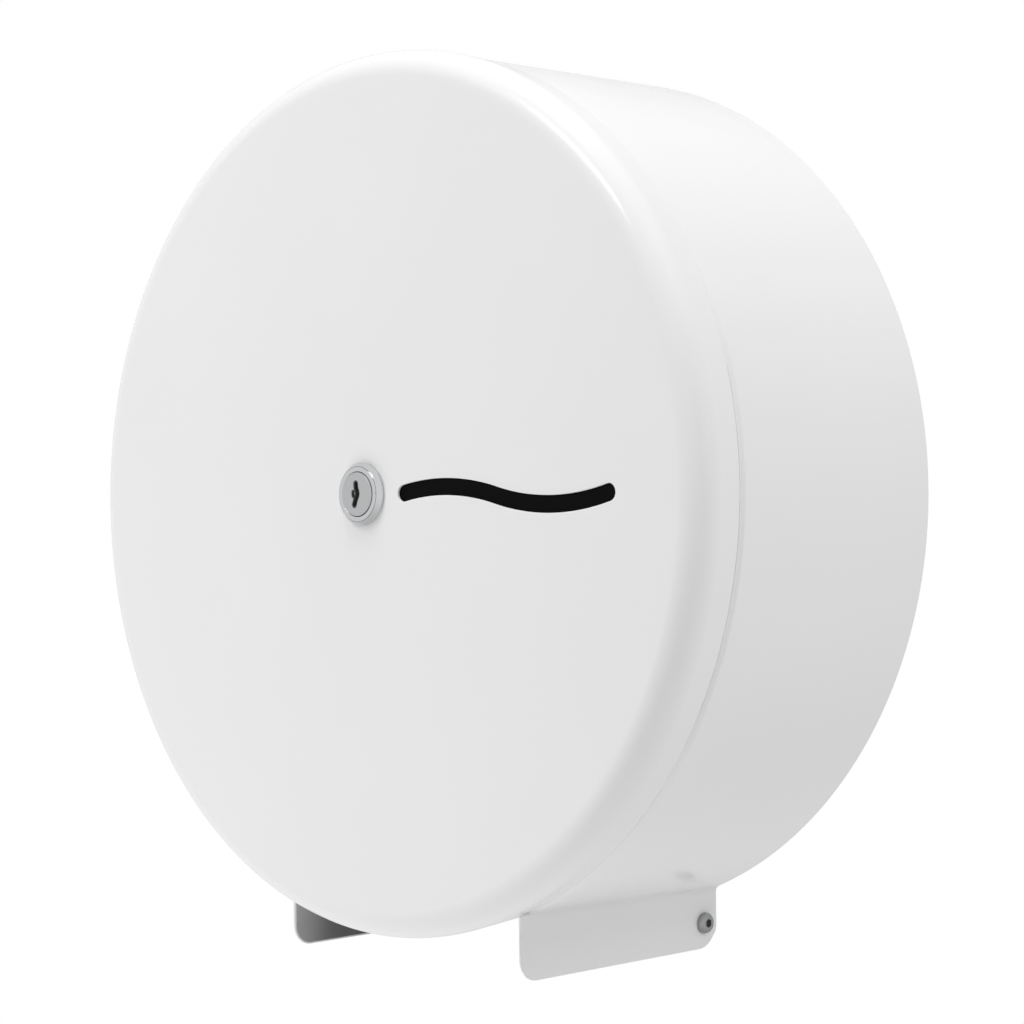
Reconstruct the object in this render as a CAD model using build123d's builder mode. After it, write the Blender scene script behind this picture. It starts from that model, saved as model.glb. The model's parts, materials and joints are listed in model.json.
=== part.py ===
from build123d import *
from math import atan2, degrees, sqrt
import os

# Round wall dispenser for one jumbo toilet roll, in millimetres.
# X is right as seen from the front, Y goes into the wall and Z is up.
# The origin is on the axis of the round case, in the plane of the wall.
# A name that ends in _front or _back is a distance in front of the wall.

# Fits and clearances
running_fit = 0.08  # radial, between a shaft and the hole it turns in
fixed_fit = 0.05  # radial, between pieces that are pressed, riveted or screwed together
play = 0.3  # between faces that move past each other

# Cover: a drawn dish at the front, spot-welded into a rolled band
cover_sheet = 1.0
cover_radius = 155.0  # of the dish's wall, where the face's fillet ends
cover_depth = 117.1
cover_wall_gap = 2.8
face_fillet = 9.5
dish_depth = 19.9
dish_draft = 0.8  # by which the dish narrows from its face to the seam
dish_lip_length = 8.0
dish_joggle = 0.5  # step between the bends from the dish's wall into its lip
seam_groove = 0.4
band_front_inset = 0.4  # by which the band is narrower than the dish at the seam
band_back_flare = 1.0  # by which the band is wider than the dish at the wall

# Flaps: the two ends of the band, bent down beside the paper's way out
flap_outside = 59.3  # half of the distance over both flaps
flap_drop = 10.7  # how far the flaps reach below the round cover
flap_bend_radius = 6.0
flap_reach = 3.9  # how far the flaps run forward under the dish
flap_front_corner = 7.5
flap_back_corner = 9.4

# Sight slot: a crest and a trough of equal arcs, and the window behind it
slot_width = 5.8
slot_length = 95.7
wave_lead = 18.9  # from the slot's start to the crest
wave_half_length = 51.5  # from the crest to the trough
wave_level = -1.7
wave_rise = 3.4
window_thickness = 1.5
window_height = 26.0
window_margin = 4.2
window_corner = 3.0
window_lock_gap = 1.3

# Cam lock in the middle of the face
plug_radius = 7.7
plug_proud = 0.3
barrel_wall = 1.7
barrel_length = 17.0
bezel_overhang = 1.8
bezel_bevel = 1.7
bezel_height = 2.6
bezel_edge = 0.9
lock_washer_rim = 3.2
lock_washer_thickness = 1.0
lock_nut_wall = 1.6
lock_nut_thickness = 5.0
keyway_width = 1.7
keyway_depth = 9.0
keyway_half_height = 3.6
keyway_bulge = 0.7
keyway_bend_height = 1.8
keyway_lean = 0.9
ward_width = 0.9
ward_height = 2.2
ward_offset = 2.1
stub_flats = 7.0
stop_washer_inset = 0.6
stop_washer_thickness = 1.0
stop_tooth_reach = 1.6
stop_tooth_width = 4.0
cam_thickness = 2.0
cam_half_width = 6.0
cam_reach = 15.5
cam_screw_radius = 2.0
cam_screw_length = 8.0
cam_head_radius = 4.3
cam_head_height = 2.2
cam_head_rounding = 1.1

# Back plate on the wall
plate_sheet = 1.5
rim_gap = 3.0  # between the plate's rim and the band around it
rim_height = 10.0
rim_bend_radius = 3.0
tab_gap = 1.3  # between the plate's tab and each flap
tab_corner = 6.0
wall_hole_radius = 3.25
wall_hole_spacing_x = 160.0
wall_hole_spacing_z = 120.0

# Hinge at the foot of the cover
pivot_rise = 9.3  # above the flaps' lower edges
pivot_inset = 6.9  # in front of the flaps' rear edges
hinge_screw_radius = 2.0
hinge_screw_end = 1.2  # by which the screw stands out of its nut
hinge_head_overhang = 1.8
hinge_head_height = 2.2
hinge_head_flat_radius = 2.1
hex_socket_flats = 2.5
hex_socket_depth = 1.4
hinge_washer_thickness = 1.5
hinge_washer_radius = 6.0
hinge_nut_flats = 7.0
hinge_nut_thickness = 3.2
bracket_sheet = 1.5
bracket_half_height = 8.0
bracket_bend_radius = 1.0
bracket_rivet_spacing = 36.0

# Rivets
rivet_radius = 2.4
bracket_rivet_overhang = 1.8
bracket_rivet_head = 1.4
flange_rivet_overhang = 1.0
flange_rivet_rounding = 0.6

# Spindle that carries the roll
spindle_lock_gap = 18.6  # from the spindle's end to the lock's cam
spindle_nose = 4.0  # by which the spindle stands out of the hub
spindle_radius = 10.0
spindle_wall = 2.5
spindle_flange_edge = 8.0  # from the circle of rivets to the flange's edge
spindle_flange_thickness = 3.0
spindle_flange_chamfer = 1.0
flange_rivet_gap = 1.1
flange_rivet_count = 3
insert_length = 14.0
hub_washer_rim = 5.5
hub_washer_thickness = 1.5
clip_thickness = 1.2
clip_depth = 0.8  # how deep the clip's groove is in the spindle
clip_rim = 3.0
clip_opening = 9.0

# Hub that the roll's core slides onto
hub_sleeve_wall = 3.5
hub_core_radius = 28.5
hub_wall = 2.5
hub_flange_reach = 15.5
hub_flange_thickness = 3.0
hub_web_count = 6
hub_web_thickness = 2.2
hub_nose_chamfer = 2.0

# Keeper that the lock's cam hooks behind
keeper_sheet = 2.0
keeper_width = 16.0
keeper_foot = 9.0  # how far the keeper reaches below the spindle's axis
keeper_tip_gap = 1.5
keeper_lip_gap = 1.2
keeper_cam_gap = 0.5
keeper_bend_radius = 1.2
keeper_screw_radius = 2.5
keeper_screw_length = 12.0
keeper_head_overhang = 2.2
keeper_head_height = 3.0
keeper_head_rounding = 1.5
cross_recess_length = 4.7
cross_recess_width = 1.25
cross_recess_depth = 1.5

# Radii that follow from the sizes above
dish_neck_radius = cover_radius - dish_draft
band_front_radius = cover_radius - band_front_inset
band_back_radius = cover_radius + band_back_flare
dish_lip_radius = band_front_radius - cover_sheet - fixed_fit
rim_radius = band_back_radius - cover_sheet - rim_gap
barrel_radius = plug_radius + barrel_wall
bezel_radius = barrel_radius + bezel_overhang
bezel_flat_radius = bezel_radius - bezel_bevel
lock_washer_radius = barrel_radius + lock_washer_rim
lock_nut_flats = 2 * (barrel_radius + lock_nut_wall)
stop_washer_radius = barrel_radius - stop_washer_inset
bracket_rivet_head_radius = rivet_radius + bracket_rivet_overhang
flange_rivet_head_radius = rivet_radius + flange_rivet_overhang
hub_washer_radius = spindle_radius + hub_washer_rim
flange_rivet_circle = hub_washer_radius + flange_rivet_gap + flange_rivet_head_radius
spindle_flange_radius = flange_rivet_circle + spindle_flange_edge
hub_sleeve_radius = spindle_radius + running_fit + hub_sleeve_wall
hub_core_inside = hub_core_radius - hub_wall
hub_flange_radius = hub_core_radius + hub_flange_reach
clip_seat_radius = spindle_radius - clip_depth
clip_radius = spindle_radius + clip_rim

# Places that follow from them
face_front = cover_wall_gap + cover_depth
face_inside = face_front - cover_sheet
seam_front = face_front - dish_depth
band_front = seam_front - seam_groove
band_back = cover_wall_gap
flap_front = seam_front + flap_reach
flap_inside = flap_outside - cover_sheet
flap_bottom = -(cover_radius + flap_drop)
pivot_front = band_back + pivot_inset
pivot_height = flap_bottom + pivot_rise
tab_half_width = flap_inside - tab_gap
tab_bottom = pivot_height - bracket_half_height
ear_outside = flap_inside - play - hinge_washer_thickness
ear_inside = ear_outside - bracket_sheet
ear_front = pivot_front + bracket_half_height
bracket_front = plate_sheet + bracket_sheet
screw_head_seat = flap_outside + play
screw_end = ear_inside - hinge_nut_thickness - hinge_screw_end
barrel_back = face_inside - barrel_length
plug_front = face_front + bezel_height + plug_proud
stop_washer_front = barrel_back - play
cam_front = stop_washer_front - stop_washer_thickness
cam_back = cam_front - cam_thickness
spindle_front = cam_back - spindle_lock_gap
flange_front = plate_sheet + spindle_flange_thickness
hub_washer_front = flange_front + hub_washer_thickness
hub_back = hub_washer_front + play
hub_front = spindle_front - spindle_nose
clip_back = hub_front + play
keeper_front = spindle_front + keeper_sheet
keeper_top = cam_reach + keeper_tip_gap + keeper_sheet
lip_back = cam_front + keeper_cam_gap
lip_front = lip_back + keeper_sheet
lip_bottom = barrel_radius + keeper_lip_gap
window_start = lock_nut_flats / sqrt(3) + window_lock_gap
slot_start = window_start + window_margin + slot_width / 2
slot_end = slot_start + slot_length
window_end = slot_end + slot_width / 2 + window_margin

hinge_place = (-pivot_front, pivot_height)  # the hinge's axis, seen along X
bracket_rivet_places = [(step * bracket_rivet_spacing, pivot_height) for step in (-1, 0, 1)]


def facing(distance):
    """Plane that looks out of the wall, this far in front of it: X right, Z up."""
    return Plane.XZ.offset(distance)


# Plane for turned pieces: its first axis is the radius, its second the distance
# in front of the wall, and the pieces turn about the case's axis.
turning = Plane(origin=(0, 0, 0), x_dir=(1, 0, 0), z_dir=(0, 0, -1))

os.makedirs("parts", exist_ok=True)
pieces = []


def finish(piece, name):
    """Give a finished piece its name and keep it for writing."""
    piece.part.label = name
    pieces.append(piece.part)


# ---------------------------------------------------------------- back plate

with BuildPart() as back_plate:
    with BuildSketch(turning):
        with BuildLine():
            bend_end = rim_radius - rim_bend_radius
            rim_inside = rim_radius - plate_sheet
            Line((0, 0), (bend_end, 0))
            TangentArc((bend_end, 0), (rim_radius, rim_bend_radius), tangent=(1, 0))
            Polyline(
                (rim_radius, rim_bend_radius),
                (rim_radius, rim_height),
                (rim_inside, rim_height),
                (rim_inside, rim_bend_radius),
            )
            TangentArc(
                (rim_inside, rim_bend_radius), (bend_end, plate_sheet), tangent=(0, -1)
            )
            Polyline((bend_end, plate_sheet), (0, plate_sheet), (0, 0))
        make_face()
    revolve(axis=Axis.Y)
    # The rim stops at the paper's way out, and a flat tab runs down to the hinge.
    tab_top = -sqrt(bend_end**2 - flap_inside**2)
    with BuildSketch(facing(0)):
        with Locations((0, tab_top)):
            Rectangle(2 * flap_inside, rim_radius + tab_top, align=(Align.CENTER, Align.MAX))
    extrude(amount=rim_height, mode=Mode.SUBTRACT)
    with BuildSketch(facing(0)) as tab_outline:
        with Locations((0, tab_bottom)):
            Rectangle(
                2 * tab_half_width, tab_top - tab_bottom, align=(Align.CENTER, Align.MIN)
            )
        fillet(tab_outline.vertices().group_by(Axis.Y)[0], tab_corner)
    extrude(amount=plate_sheet)
    with BuildSketch(facing(0)):
        with GridLocations(wall_hole_spacing_x, wall_hole_spacing_z, 2, 2):
            Circle(wall_hole_radius)
        with PolarLocations(flange_rivet_circle, flange_rivet_count, start_angle=90):
            Circle(rivet_radius + fixed_fit)
        with Locations(*bracket_rivet_places):
            Circle(rivet_radius + fixed_fit)
    extrude(amount=plate_sheet, mode=Mode.SUBTRACT)
finish(back_plate, "back_plate")

# --------------------------------------------------------------------- hinge

with BuildPart() as hinge_bracket:
    # A channel seen from above: a web on the plate and an ear at each end.
    with BuildSketch(Plane.XY.offset(pivot_height - bracket_half_height)):
        with BuildLine():
            Polyline(
                (-ear_outside, -ear_front),
                (-ear_outside, -plate_sheet),
                (ear_outside, -plate_sheet),
                (ear_outside, -ear_front),
                (ear_inside, -ear_front),
                (ear_inside, -bracket_front),
                (-ear_inside, -bracket_front),
                (-ear_inside, -ear_front),
                close=True,
            )
        make_face()
    extrude(amount=2 * bracket_half_height)
    upright = hinge_bracket.edges().filter_by(Axis.Z)
    fillet(upright.group_by(Axis.Y)[-1], bracket_bend_radius + bracket_sheet)
    upright = hinge_bracket.edges().filter_by(Axis.Z)
    inner_bends = upright.filter_by(
        lambda edge: abs(edge.center().Y + bracket_front) < fixed_fit
    )
    fillet(inner_bends, bracket_bend_radius)
    ear_ends = hinge_bracket.edges().filter_by(Axis.X).group_by(Axis.Y)[0]
    fillet(ear_ends, bracket_half_height - fixed_fit)
    with BuildSketch(Plane.YZ.offset(-ear_outside)):
        with Locations(hinge_place):
            Circle(hinge_screw_radius + fixed_fit)
    extrude(amount=2 * ear_outside, mode=Mode.SUBTRACT)
    with BuildSketch(facing(plate_sheet)):
        with Locations(*bracket_rivet_places):
            Circle(rivet_radius + fixed_fit)
    extrude(amount=bracket_sheet, mode=Mode.SUBTRACT)
finish(hinge_bracket, "hinge_bracket")

with BuildPart() as bracket_rivets:
    with BuildSketch(facing(0)):
        with Locations(*bracket_rivet_places):
            Circle(rivet_radius)
    extrude(amount=bracket_front)
    with BuildSketch(facing(bracket_front)):
        with Locations(*bracket_rivet_places):
            Circle(bracket_rivet_head_radius)
    extrude(amount=bracket_rivet_head)
    fillet(bracket_rivets.edges().group_by(Axis.Y)[0], bracket_rivet_head - fixed_fit)
finish(bracket_rivets, "bracket_rivets")

with BuildPart() as hinge_nuts:
    with BuildSketch(Plane.YZ.offset(ear_inside)):
        with Locations(hinge_place):
            RegularPolygon(hinge_nut_flats / 2, 6, major_radius=False)
            Circle(hinge_screw_radius + fixed_fit, mode=Mode.SUBTRACT)
    extrude(amount=-hinge_nut_thickness)
    mirror(about=Plane.YZ)
finish(hinge_nuts, "hinge_nuts")

with BuildPart() as hinge_washers:
    with BuildSketch(Plane.YZ.offset(ear_outside)):
        with Locations(hinge_place):
            Circle(hinge_washer_radius)
            Circle(hinge_screw_radius + fixed_fit, mode=Mode.SUBTRACT)
    extrude(amount=hinge_washer_thickness)
    mirror(about=Plane.YZ)
finish(hinge_washers, "hinge_washers")

# Plane for the turned shape of a hinge screw: radius across, distance along X up.
screw_turning = Plane(
    origin=(screw_head_seat, -pivot_front, pivot_height), x_dir=(0, 0, 1), z_dir=(0, 1, 0)
)
with BuildPart() as hinge_screws:
    with BuildSketch(screw_turning):
        with BuildLine():
            head_radius = hinge_screw_radius + hinge_head_overhang
            Polyline(
                (0, hinge_head_height),
                (0, screw_end - screw_head_seat),
                (hinge_screw_radius, screw_end - screw_head_seat),
                (hinge_screw_radius, 0),
                (head_radius, 0),
            )
            TangentArc(
                (head_radius, 0),
                (hinge_head_flat_radius, hinge_head_height),
                tangent=(0, 1),
            )
            Line((hinge_head_flat_radius, hinge_head_height), (0, hinge_head_height))
        make_face()
    revolve(axis=Axis((0, -pivot_front, pivot_height), (1, 0, 0)))
    with BuildSketch(Plane.YZ.offset(screw_head_seat + hinge_head_height)):
        with Locations(hinge_place):
            RegularPolygon(hex_socket_flats / 2, 6, major_radius=False)
    extrude(amount=-hex_socket_depth, mode=Mode.SUBTRACT)
    mirror(about=Plane.YZ)
finish(hinge_screws, "hinge_screws")

# ------------------------------------------------------------------- spindle

with BuildPart() as spindle_flange:
    with BuildSketch(facing(plate_sheet)):
        Circle(spindle_flange_radius)
        Circle(spindle_radius + fixed_fit, mode=Mode.SUBTRACT)
        with PolarLocations(flange_rivet_circle, flange_rivet_count, start_angle=90):
            Circle(rivet_radius + fixed_fit, mode=Mode.SUBTRACT)
    extrude(amount=spindle_flange_thickness)
    rim_edge = spindle_flange.edges().group_by(Axis.Y)[0].sort_by(SortBy.RADIUS)[-1]
    chamfer(rim_edge, spindle_flange_chamfer)
finish(spindle_flange, "spindle_flange")

with BuildPart() as flange_rivets:
    with BuildSketch(facing(0)):
        with PolarLocations(flange_rivet_circle, flange_rivet_count, start_angle=90):
            Circle(rivet_radius)
    extrude(amount=flange_front)
    # The heads are lower than the washer, so the hub turns clear of them.
    with BuildSketch(facing(flange_front)):
        with PolarLocations(flange_rivet_circle, flange_rivet_count, start_angle=90):
            Circle(flange_rivet_head_radius)
    extrude(amount=hub_washer_thickness - play)
    fillet(flange_rivets.edges().group_by(Axis.Y)[0], flange_rivet_rounding)
finish(flange_rivets, "flange_rivets")

with BuildPart() as spindle_post:
    with BuildSketch(facing(plate_sheet)):
        Circle(spindle_radius)
        Circle(spindle_radius - spindle_wall, mode=Mode.SUBTRACT)
    extrude(amount=spindle_front - plate_sheet)
    with BuildSketch(facing(clip_back)):
        Circle(spindle_radius + play)
        Circle(clip_seat_radius, mode=Mode.SUBTRACT)
    extrude(amount=clip_thickness + fixed_fit, mode=Mode.SUBTRACT)
finish(spindle_post, "spindle_post")

with BuildPart() as spindle_insert:
    with BuildSketch(facing(spindle_front - insert_length)):
        Circle(spindle_radius - spindle_wall - fixed_fit)
        Circle(keeper_screw_radius + fixed_fit, mode=Mode.SUBTRACT)
    extrude(amount=insert_length)
finish(spindle_insert, "spindle_insert")

with BuildPart() as hub_washer:
    with BuildSketch(facing(flange_front)):
        Circle(hub_washer_radius)
        Circle(spindle_radius + fixed_fit, mode=Mode.SUBTRACT)
    extrude(amount=hub_washer_thickness)
finish(hub_washer, "hub_washer")

with BuildPart() as hub_clip:
    with BuildSketch(facing(clip_back)):
        Circle(clip_radius)
        Circle(clip_seat_radius + fixed_fit, mode=Mode.SUBTRACT)
        Rectangle(
            clip_opening, clip_radius, align=(Align.CENTER, Align.MAX), mode=Mode.SUBTRACT
        )
    extrude(amount=clip_thickness)
finish(hub_clip, "hub_clip")

with BuildPart() as roll_hub:
    # Sleeve on the spindle, drum under the roll's core and flange behind the roll.
    with BuildSketch(facing(hub_back)):
        Circle(hub_flange_radius)
    extrude(amount=hub_flange_thickness)
    with BuildSketch(facing(hub_back)):
        Circle(hub_core_radius)
        Circle(hub_core_inside, mode=Mode.SUBTRACT)
        Circle(hub_sleeve_radius)
        with PolarLocations((hub_sleeve_radius + hub_core_inside) / 2, hub_web_count):
            Rectangle(hub_core_inside - hub_sleeve_radius + play, hub_web_thickness)
    extrude(amount=hub_front - hub_back)
    nose = roll_hub.edges().group_by(Axis.Y)[0].filter_by(GeomType.CIRCLE)
    chamfer(nose.sort_by(SortBy.RADIUS)[-1], hub_nose_chamfer)
    with BuildSketch(facing(hub_back)):
        Circle(spindle_radius + running_fit)
    extrude(amount=hub_front - hub_back, mode=Mode.SUBTRACT)
finish(roll_hub, "roll_hub")

# -------------------------------------------------------------------- keeper

with BuildPart() as lock_keeper:
    with BuildSketch(Plane.YZ.offset(-keeper_width / 2)) as keeper_side:
        with BuildLine():
            Polyline(
                (-spindle_front, -keeper_foot),
                (-spindle_front, keeper_top),
                (-lip_front, keeper_top),
                (-lip_front, lip_bottom),
                (-lip_back, lip_bottom),
                (-lip_back, keeper_top - keeper_sheet),
                (-keeper_front, keeper_top - keeper_sheet),
                (-keeper_front, -keeper_foot),
                close=True,
            )
        make_face()
        outer_bends = keeper_side.vertices().group_by(Axis.Y)[-1]
        fillet(outer_bends, keeper_bend_radius + keeper_sheet)
        inner_bends = keeper_side.vertices().filter_by(
            lambda corner: abs(corner.Y - (keeper_top - keeper_sheet)) < fixed_fit
        )
        fillet(inner_bends, keeper_bend_radius)
    extrude(amount=keeper_width)
    with BuildSketch(facing(spindle_front)):
        Circle(keeper_screw_radius + fixed_fit)
    extrude(amount=keeper_sheet, mode=Mode.SUBTRACT)
finish(lock_keeper, "lock_keeper")

with BuildPart() as keeper_screw:
    with BuildSketch(facing(keeper_front - keeper_screw_length)):
        Circle(keeper_screw_radius)
    extrude(amount=keeper_screw_length)
    with BuildSketch(facing(keeper_front)):
        Circle(keeper_screw_radius + keeper_head_overhang)
    extrude(amount=keeper_head_height)
    fillet(keeper_screw.edges().group_by(Axis.Y)[0], keeper_head_rounding)
    with BuildSketch(facing(keeper_front + keeper_head_height)):
        Rectangle(cross_recess_length, cross_recess_width)
        Rectangle(cross_recess_width, cross_recess_length)
    extrude(amount=-cross_recess_depth, mode=Mode.SUBTRACT)
finish(keeper_screw, "keeper_screw")

# --------------------------------------------------------------------- cover

wave_crest_x = slot_start + wave_lead
wave_trough_x = wave_crest_x + wave_half_length
wave_middle = ((wave_crest_x + wave_trough_x) / 2, wave_level)
wave_radius = ((wave_half_length / 2) ** 2 + wave_rise**2) / (2 * wave_rise)


def on_wave(x, top_x, way):
    """Height of the wave's arc at x: way is 1 on the crest's arc, -1 on the trough's."""
    arc_height = sqrt(wave_radius**2 - (x - top_x) ** 2) - (wave_radius - wave_rise)
    return wave_level + way * arc_height


with BuildPart() as cover_dish:
    with BuildSketch(turning):
        with BuildLine():
            flat_radius = cover_radius - face_fillet
            wall_front = face_front - face_fillet
            lip_back_end = seam_front - dish_lip_length
            Line((0, face_front), (flat_radius, face_front))
            TangentArc((flat_radius, face_front), (cover_radius, wall_front), tangent=(1, 0))
            Polyline(
                (cover_radius, wall_front),
                (dish_neck_radius, seam_front),
                (dish_lip_radius, seam_front),
                (dish_lip_radius, lip_back_end),
                (dish_lip_radius - cover_sheet, lip_back_end),
                (dish_lip_radius - cover_sheet, seam_front + cover_sheet - dish_joggle),
                (dish_neck_radius - cover_sheet, seam_front + cover_sheet),
                (cover_radius - cover_sheet, wall_front),
            )
            TangentArc(
                (cover_radius - cover_sheet, wall_front),
                (flat_radius, face_inside),
                tangent=(0, 1),
            )
            Polyline((flat_radius, face_inside), (0, face_inside), (0, face_front))
        make_face()
    revolve(axis=Axis.Y)
    with BuildSketch(facing(face_front)):
        Circle(barrel_radius + fixed_fit)
        with BuildLine(mode=Mode.PRIVATE) as wave:
            ThreePointArc(
                (slot_start, on_wave(slot_start, wave_crest_x, 1)),
                (wave_crest_x, wave_level + wave_rise),
                wave_middle,
            )
            ThreePointArc(
                wave_middle,
                (wave_trough_x, wave_level - wave_rise),
                (slot_end, on_wave(slot_end, wave_trough_x, -1)),
            )
        SlotArc(wave.wire(), slot_width)
    extrude(amount=-cover_sheet, mode=Mode.SUBTRACT)
finish(cover_dish, "cover_dish")


def draw_band_section(outside_radius):
    """Outline of the band across its depth: round wall, two bends and two flaps.

    Each bend is an arc outside the round wall that touches it and the flap's face.
    """
    bend_x = flap_outside + flap_bend_radius
    bend_z = -sqrt((outside_radius + flap_bend_radius) ** 2 - bend_x**2)
    turn = degrees(atan2(-bend_z, bend_x))
    for wall_radius in (outside_radius, outside_radius - cover_sheet):
        CenterArc((0, 0), wall_radius, -turn, 180 + 2 * turn)
    for side in (1, -1):
        bend_start = 180 - turn if side > 0 else 0
        for bend_radius in (flap_bend_radius, flap_bend_radius + cover_sheet):
            CenterArc((side * bend_x, bend_z), bend_radius, bend_start, turn)
        Polyline(
            (side * flap_outside, bend_z),
            (side * flap_outside, flap_bottom),
            (side * flap_inside, flap_bottom),
            (side * flap_inside, bend_z),
        )


with BuildPart() as cover_band:
    with BuildSketch(facing(band_back)):
        with BuildLine():
            draw_band_section(band_back_radius)
        make_face()
    with BuildSketch(facing(band_front)):
        with BuildLine():
            draw_band_section(band_front_radius)
        make_face()
    loft(ruled=True)
    # The flaps reach a little further forward than the band, just under the dish.
    flap_middle = (flap_outside + flap_inside) / 2
    under_dish = -sqrt((cover_radius + play) ** 2 - flap_inside**2)
    with BuildSketch(facing(band_front)):
        with Locations((flap_middle, flap_bottom), (-flap_middle, flap_bottom)):
            Rectangle(cover_sheet, under_dish - flap_bottom, align=(Align.CENTER, Align.MIN))
    extrude(amount=flap_front - band_front)
    corners = cover_band.edges().filter_by(Axis.X).group_by(Axis.Z)[0]
    fillet(corners.group_by(Axis.Y)[0], flap_front_corner)
    corners = cover_band.edges().filter_by(Axis.X).group_by(Axis.Z)[0]
    fillet(corners.group_by(Axis.Y)[-1], flap_back_corner)
    with BuildSketch(Plane.YZ.offset(-flap_outside)):
        with Locations(hinge_place):
            Circle(hinge_screw_radius + running_fit)
    extrude(amount=2 * flap_outside, mode=Mode.SUBTRACT)
finish(cover_band, "cover_band")

with BuildPart() as sight_window:
    with BuildSketch(facing(face_inside)):
        with Locations(((window_start + window_end) / 2, wave_level)):
            RectangleRounded(window_end - window_start, window_height, window_corner)
    extrude(amount=-window_thickness)
finish(sight_window, "sight_window")

# ---------------------------------------------------------------------- lock

with BuildPart() as lock_body:
    with BuildSketch(turning):
        with BuildLine():
            Polyline(
                (plug_radius + running_fit, barrel_back),
                (plug_radius + running_fit, face_front + bezel_height),
                (bezel_flat_radius, face_front + bezel_height),
                (bezel_radius, face_front + bezel_edge),
                (bezel_radius, face_front),
                (barrel_radius, face_front),
                (barrel_radius, barrel_back),
                close=True,
            )
        make_face()
    revolve(axis=Axis.Y)
finish(lock_body, "lock_body")

with BuildPart() as lock_washer:
    with BuildSketch(facing(face_inside)):
        Circle(lock_washer_radius)
        Circle(barrel_radius + fixed_fit, mode=Mode.SUBTRACT)
    extrude(amount=-lock_washer_thickness)
finish(lock_washer, "lock_washer")

with BuildPart() as lock_nut:
    with BuildSketch(facing(face_inside - lock_washer_thickness)):
        RegularPolygon(lock_nut_flats / 2, 6, major_radius=False)
        Circle(barrel_radius + fixed_fit, mode=Mode.SUBTRACT)
    extrude(amount=-lock_nut_thickness)
finish(lock_nut, "lock_nut")

with BuildPart() as lock_plug:
    with BuildSketch(facing(barrel_back)):
        Circle(plug_radius)
    extrude(amount=plug_front - barrel_back)
    with BuildSketch(facing(cam_back)):
        Rectangle(stub_flats, stub_flats)
    extrude(amount=barrel_back - cam_back)
    with BuildSketch(facing(plug_front)):
        with BuildLine(mode=Mode.PRIVATE):
            upper_run = Line((0, keyway_half_height), (0, keyway_bend_height))
            bulge_run = ThreePointArc(
                (0, keyway_bend_height), (keyway_bulge, 0), (0, -keyway_bend_height)
            )
            lower_run = Line((0, -keyway_bend_height), (-keyway_lean, -keyway_half_height))
        for run in (upper_run, bulge_run, lower_run):
            SlotArc(run, keyway_width)
        with Locations((-ward_offset, 0)):
            SlotOverall(ward_height, ward_width, rotation=90)
    extrude(amount=-keyway_depth, mode=Mode.SUBTRACT)
    with BuildSketch(facing(cam_back)):
        Circle(cam_screw_radius + fixed_fit)
    extrude(amount=cam_screw_length + play, mode=Mode.SUBTRACT)
finish(lock_plug, "lock_plug")

with BuildPart() as stop_washer:
    with BuildSketch(facing(stop_washer_front)):
        Circle(stop_washer_radius)
        with Locations((0, -stop_washer_radius)):
            Rectangle(stop_tooth_width, 2 * stop_tooth_reach)
        Rectangle(stub_flats + fixed_fit, stub_flats + fixed_fit, mode=Mode.SUBTRACT)
    extrude(amount=-stop_washer_thickness)
finish(stop_washer, "stop_washer")

with BuildPart() as lock_cam:
    # The cam points left when the lock is open and turns up behind the keeper's lip.
    with BuildSketch(facing(cam_front)):
        Circle(stop_washer_radius)
        SlotCenterPoint((0, 0), (-(cam_reach - cam_half_width), 0), 2 * cam_half_width)
        Rectangle(stub_flats + fixed_fit, stub_flats + fixed_fit, mode=Mode.SUBTRACT)
    extrude(amount=-cam_thickness)
finish(lock_cam, "lock_cam")

with BuildPart() as cam_screw:
    with BuildSketch(facing(cam_back)):
        Circle(cam_screw_radius)
    extrude(amount=cam_screw_length)
    with BuildSketch(facing(cam_back)):
        Circle(cam_head_radius)
    extrude(amount=-cam_head_height)
    fillet(cam_screw.edges().group_by(Axis.Y)[-1], cam_head_rounding)
finish(cam_screw, "cam_screw")

for piece in pieces:
    export_step(piece, "parts/" + piece.label + ".step")
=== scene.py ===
import json
from math import atan2, cos, pi, radians, sin, sqrt

import bmesh
import bpy
import numpy as np
from mathutils import Matrix, Vector
from mathutils.geometry import tessellate_polygon


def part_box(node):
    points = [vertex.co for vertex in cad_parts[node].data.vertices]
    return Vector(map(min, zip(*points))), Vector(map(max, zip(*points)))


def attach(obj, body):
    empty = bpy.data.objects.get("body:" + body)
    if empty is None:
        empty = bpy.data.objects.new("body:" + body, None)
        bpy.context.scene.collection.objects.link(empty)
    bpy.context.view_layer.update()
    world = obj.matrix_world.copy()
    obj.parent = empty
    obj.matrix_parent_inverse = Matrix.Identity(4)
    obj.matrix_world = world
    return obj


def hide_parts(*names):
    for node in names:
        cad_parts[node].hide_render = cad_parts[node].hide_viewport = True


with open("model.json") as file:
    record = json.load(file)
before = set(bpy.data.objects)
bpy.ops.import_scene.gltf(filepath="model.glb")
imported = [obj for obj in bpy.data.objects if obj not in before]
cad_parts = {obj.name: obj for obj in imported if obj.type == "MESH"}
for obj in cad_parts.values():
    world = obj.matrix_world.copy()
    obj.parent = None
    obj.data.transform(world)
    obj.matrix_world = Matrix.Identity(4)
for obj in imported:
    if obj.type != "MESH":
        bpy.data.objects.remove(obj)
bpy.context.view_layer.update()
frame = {"nodes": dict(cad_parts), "record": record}

# Looks of a round wall dispenser for one jumbo toilet roll: a white powder coated steel
# drum with a cam lock and a wavy sight slot, hinged at the foot of a plate on the wall.
# Shapes are worked out in millimetres. X is right as seen from the front and Z is up, and
# the distance in front of the wall is called forward, which is minus Y.

MM = 0.001

# ------------------------------------------------------------------- sizes


def extent(node):
    """Lowest and highest corner of a node in millimetres, to a tenth."""
    low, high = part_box(node)
    return np.round(np.array(low) / MM, 1), np.round(np.array(high) / MM, 1)


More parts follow.
